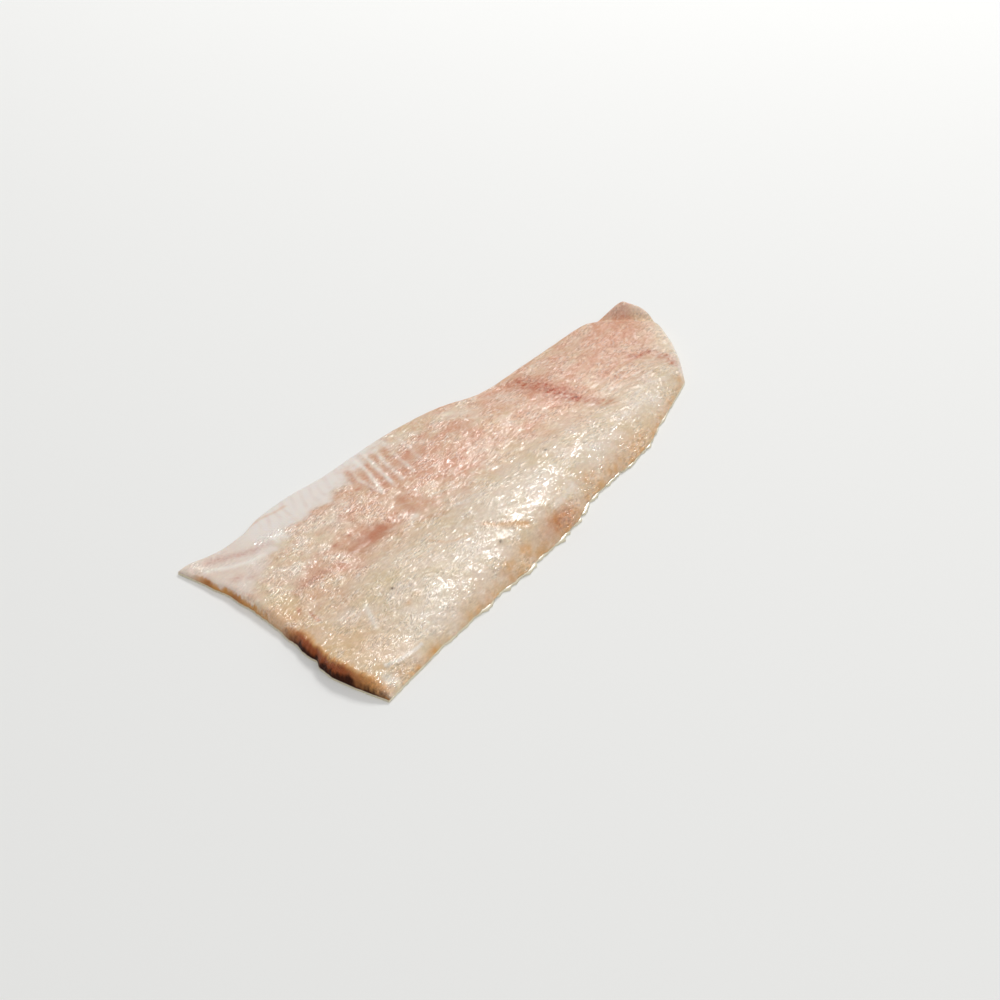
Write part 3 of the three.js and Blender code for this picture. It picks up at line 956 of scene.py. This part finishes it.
def skin_material(colours):
    """Whitefish skin: a thin tough sheet, white and fatty where it is cut, silvery and scaled outside. To the
    eye, a pale moist rim and, from below, a dull metal sheen that darkens to olive along the back."""
    material, tree = empty_material("whitefish_skin")
    place = add_node(tree, "ShaderNodeTexCoord", {}, "Object")
    blotches, grain = (
        add_node(
            tree, "ShaderNodeTexNoise", {"Vector": place, "Scale": 1 / (size * MM), "Detail": detail}, "Fac"
        )
        for size, detail in ((SKIN_BLOTCH, 4.0), (SKIN_GRAIN, 2.0))
    )
    outer, dorsal, seam = (
        add_node(tree, "ShaderNodeAttribute", {}, "Fac", attribute_name=name)
        for name in ("outer", "dorsal", "seam")
    )
    blotched = add_node(tree, "ShaderNodeMath", {0: dorsal, 1: blotches}, operation="MULTIPLY")
    colour = opaque(colours.silver)
    for share in (blotched, seam):
        colour = add_node(
            tree, "ShaderNodeMix", {0: share, MIX_A: colour, MIX_B: opaque(colours.olive)}, MIX_RESULT,
            data_type="RGBA",
        )
    colour = add_node(
        tree, "ShaderNodeMix", {0: outer, MIX_A: opaque(colours.dermis), MIX_B: colour}, MIX_RESULT,
        data_type="RGBA",
    )
    metal = add_node(tree, "ShaderNodeMapRange", {"Value": outer, "To Max": SKIN_METAL})
    bump = add_node(tree, "ShaderNodeBump", {"Height": grain, "Strength": 0.4, "Distance": SKIN_BUMP * MM})
    shader = add_node(tree, "ShaderNodeBsdfPrincipled", {
        "Base Color": colour,
        "Metallic": metal,
        "Roughness": 0.32,
        "Coat Weight": 0.4,
        "Coat Roughness": 0.12,
        "Coat IOR": 1.33,
        "Normal": bump,
    })
    add_node(tree, "ShaderNodeOutputMaterial", {"Surface": shader})
    return material


def place_piece(piece, material):
    """Gives a piece its material, and ties it to the solid that it stands for."""
    piece.data.materials.append(material)
    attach(piece, BODY)
    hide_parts(NODE)


def length_property(name, description, default):
    """A length with its own name and default, in millimetres."""
    return bpy.props.FloatProperty(
        name=name, description=description, default=default * MM, min=0.0, precision=5, unit="LENGTH",
        subtype="DISTANCE",
    )


def colour_property(name, description, code):
    """A colour with its own name and default, from a hex sRGB value."""
    return bpy.props.FloatVectorProperty(
        name=name, description=description, default=linear(code), min=0.0, max=1.0, size=3, subtype="COLOR"
    )


class FilletSizes(bpy.types.PropertyGroup):
    """Fine sizes of the flesh and the skin."""

    fibre_length: length_property("Fibre length", "Length of the bundles of muscle fibre that show", 5.5)
    fibre_width: length_property("Fibre width", "Width of those bundles", 1.6)
    fibre_depth: length_property("Fibre depth", "Height of their relief", 0.14)
    crinkle_depth: length_property("Crinkle depth", "Height of the loin's wet crinkles", 0.17)
    flake_spacing: length_property("Flake spacing", "Distance between the loin's flakes", 6.5)
    flake_depth: length_property("Flake depth", "Height of their steps", 0.12)
    skin_thickness: length_property("Skin thickness", "Thickness of the skin under the flesh", 0.95)
    skin_overhang: length_property("Skin overhang", "How far the skin stands out at the back edge", 1.4)
    scale_length: length_property("Scale length", "Distance between scales along the fish", 5.0)
    scale_depth: length_property("Scale depth", "Height of the scales' relief", 0.12)


class FilletColours(bpy.types.PropertyGroup):
    """Colours of the flesh, the skin and the floor."""

    cream: colour_property("Cream", "Loin flesh", "#e5d4c0")
    straw: colour_property("Straw", "Yellower mottles of the loin", "#dac7a6")
    pink: colour_property("Pink", "Belly flesh", "#d49d81")
    film: colour_property("Film", "Film over the belly wall", "#ebe2da")
    # Amber on the back edge's slope is partly painted shade.
    amber: colour_property("Amber", "Fatty brown tints of the edges", "#d2923f")
    # Rust on the head cut's face is partly painted shade.
    rust: colour_property("Rust", "Red-brown face of the head cut", "#924424")
    blood: colour_property("Blood", "Blood streaks and deep pink", "#ac4822")
    # Brown is partly painted contact shadow at the foot of the head cut.
    brown: colour_property("Brown", "Foot of the head cut and dark specks", "#3a1a0e")
    # Fat also paints highlights (gloss, film dashes and border, back corner) and light on the bent corner.
    fat: colour_property("Fat", "White tissue", "#f3ebe0")
    # Flecks: partly white tissue, partly painted glints.
    flecks: colour_property("Flecks", "Pale flecks between the fibres", "#fcf4e8")
    dermis: colour_property("Dermis", "Cut edge of the skin", "#ebe1c6")
    silver: colour_property("Silver", "Scaled side of the skin", "#b9b9ae")
    olive: colour_property("Olive", "Back of the fish and the scales' seams", "#6c6a56")
    floor: colour_property("Floor", "Studio floor", "#f0f0ee")


def sizes_of(scene):
    """The scene's fine sizes, in millimetres."""
    names = FilletSizes.__annotations__
    return SimpleNamespace(**{name: getattr(scene.fillet_sizes, name) / MM for name in names})


class FILLET_OT_flesh(bpy.types.Operator):
    """Adds the flesh: top, edges and cuts, with its fine relief and tints."""

    bl_idname = "fillet.add_flesh"
    bl_label = "Add flesh"

    def execute(self, context):
        """The solid's own height times its fullness at the rim, plus the fine relief."""
        sizes, place = sizes_of(context.scene), fine_grid()
        plain = RIM + (muscles(place) - RIM) * fullness(place)
        marks = flesh_marks(place, plain)
        height = plain + flesh_relief(place, marks, sizes) + lift(place)
        underside = sizes.skin_thickness - SKIN_OVERLAP + lift(place)
        fine = np.stack([place.x, place.y, height], -1)
        tints = {name: marks[name] for name in (*FLESH_TINTS, *FLESH_FINISHES)}
        piece = add_piece("flesh", fine, underside, tints, fine_side_up=True)
        place_piece(piece, flesh_material(context.scene.fillet_colours))
        return {"FINISHED"}


class FILLET_OT_skin(bpy.types.Operator):
    """Adds the skin: a thin scaled sheet under the flesh that stands out along the back edge."""

    bl_idname = "fillet.add_skin"
    bl_label = "Add skin"

    def execute(self, context):
        """A sheet with a round rim, pushed out along the back edge, with staggered domes for scales below."""
        sizes, place = sizes_of(context.scene), fine_grid()
        half = sizes.skin_thickness / 2
        inside = quarter_round(place.from_edge, half)
        domes = scales(place, sizes.scale_length)
        under = half * (1 - inside) + sizes.scale_depth * (1 - domes) * zone(place, "scales") + lift(place)
        top = half * (1 + inside) + lift(place)
        fine = np.stack([place.x, place.y - sizes.skin_overhang * skin_rim(place), under], -1)
        tints = {
            "outer": zone(place, "outer"),
            "dorsal": zone(place, "dorsal"),
            "seam": SEAM * ramp(domes, *SEAM_DEPTHS),
        }
        piece = add_piece("skin", fine, top, tints, fine_side_up=False)
        place_piece(piece, skin_material(context.scene.fillet_colours))
        return {"FINISHED"}


class FILLET_OT_stage(bpy.types.Operator):
    """Sets the stage: a plain pale floor, soft studio light and the camera."""

    bl_idname = "fillet.set_stage"
    bl_label = "Set stage"

    def execute(self, context):
        """A square floor, a small light behind to the right, a large one overhead, a white sky, a camera."""
        scene = context.scene
        scene.view_settings.view_transform = "Standard"
        add_floor(scene.fillet_colours.floor)
        for name, (place, side, power) in LIGHTS.items():
            add_light(name, MM * Vector(place), MM * side, power)
        world = bpy.data.worlds.new("studio")
        world.use_nodes = True
        sky = world.node_tree.nodes["Background"]
        sky.inputs["Color"].default_value = (1.0, 1.0, 1.0, 1.0)
        sky.inputs["Strength"].default_value = SKY_STRENGTH
        scene.world = world
        lens = bpy.data.cameras.new("camera")
        lens.lens = CAMERA_LENS
        camera = bpy.data.objects.new("camera", lens)
        camera.location = MM * Vector(CAMERA_PLACE)
        camera.rotation_euler = Vector(CAMERA_LOOK).to_track_quat("-Z", "Y").to_euler()
        scene.collection.objects.link(camera)
        scene.camera = camera
        return {"FINISHED"}


def add_floor(colour):
    """A square at height 0, in matt white paint."""
    half = FLOOR_SIDE / 2
    corners = np.array([[-half, -half, 0], [half, -half, 0], [half, half, 0], [-half, half, 0]])
    mesh = bpy.data.meshes.new("floor")
    fill_mesh(mesh, corners, [np.array([[0, 1, 2, 3]])])
    material = bpy.data.materials.new("matt_white_paint")
    material.use_nodes = True
    shader = material.node_tree.nodes["Principled BSDF"]
    shader.inputs["Base Color"].default_value = opaque(colour)
    shader.inputs["Roughness"].default_value = FLOOR_ROUGHNESS
    mesh.materials.append(material)
    floor = bpy.data.objects.new("floor", mesh)
    bpy.context.scene.collection.objects.link(floor)


def add_light(name, place, side, power):
    """A square area light of a side in metres and a power in watts, facing the fillet."""
    lamp = bpy.data.lights.new(name, "AREA")
    lamp.size = side
    lamp.energy = power
    light = bpy.data.objects.new(name, lamp)
    light.location = place
    light.rotation_euler = (-place).to_track_quat("-Z", "Y").to_euler()
    bpy.context.scene.collection.objects.link(light)


class VIEW3D_PT_fillet(bpy.types.Panel):
    """Lists the fillet's steps, sizes and colours."""

    bl_label = "Whitefish fillet"
    bl_space_type = "VIEW_3D"
    bl_region_type = "UI"
    bl_category = "Fillet"

    def draw(self, context):
        """One button for each step, then every size and colour."""
        for step in STEPS:
            self.layout.operator(step.bl_idname)
        for group in (context.scene.fillet_sizes, context.scene.fillet_colours):
            for name in type(group).__annotations__:
                self.layout.prop(group, name)


STEPS = (FILLET_OT_flesh, FILLET_OT_skin, FILLET_OT_stage)
CLASSES = (FilletSizes, FilletColours, *STEPS, VIEW3D_PT_fillet)


def register():
    """Registers the classes, and gives the scene its sizes and colours."""
    for one in CLASSES:
        bpy.utils.register_class(one)
    bpy.types.Scene.fillet_sizes = bpy.props.PointerProperty(type=FilletSizes)
    bpy.types.Scene.fillet_colours = bpy.props.PointerProperty(type=FilletColours)


def unregister():
    """Takes the scene's sizes and colours away, and the classes."""
    del bpy.types.Scene.fillet_colours
    del bpy.types.Scene.fillet_sizes
    for one in reversed(CLASSES):
        bpy.utils.unregister_class(one)


def main():
    """Builds the fillet and its stage."""
    register()
    bpy.ops.fillet.add_flesh()
    bpy.ops.fillet.add_skin()
    bpy.ops.fillet.set_stage()


if __name__ == "__main__":
    main()
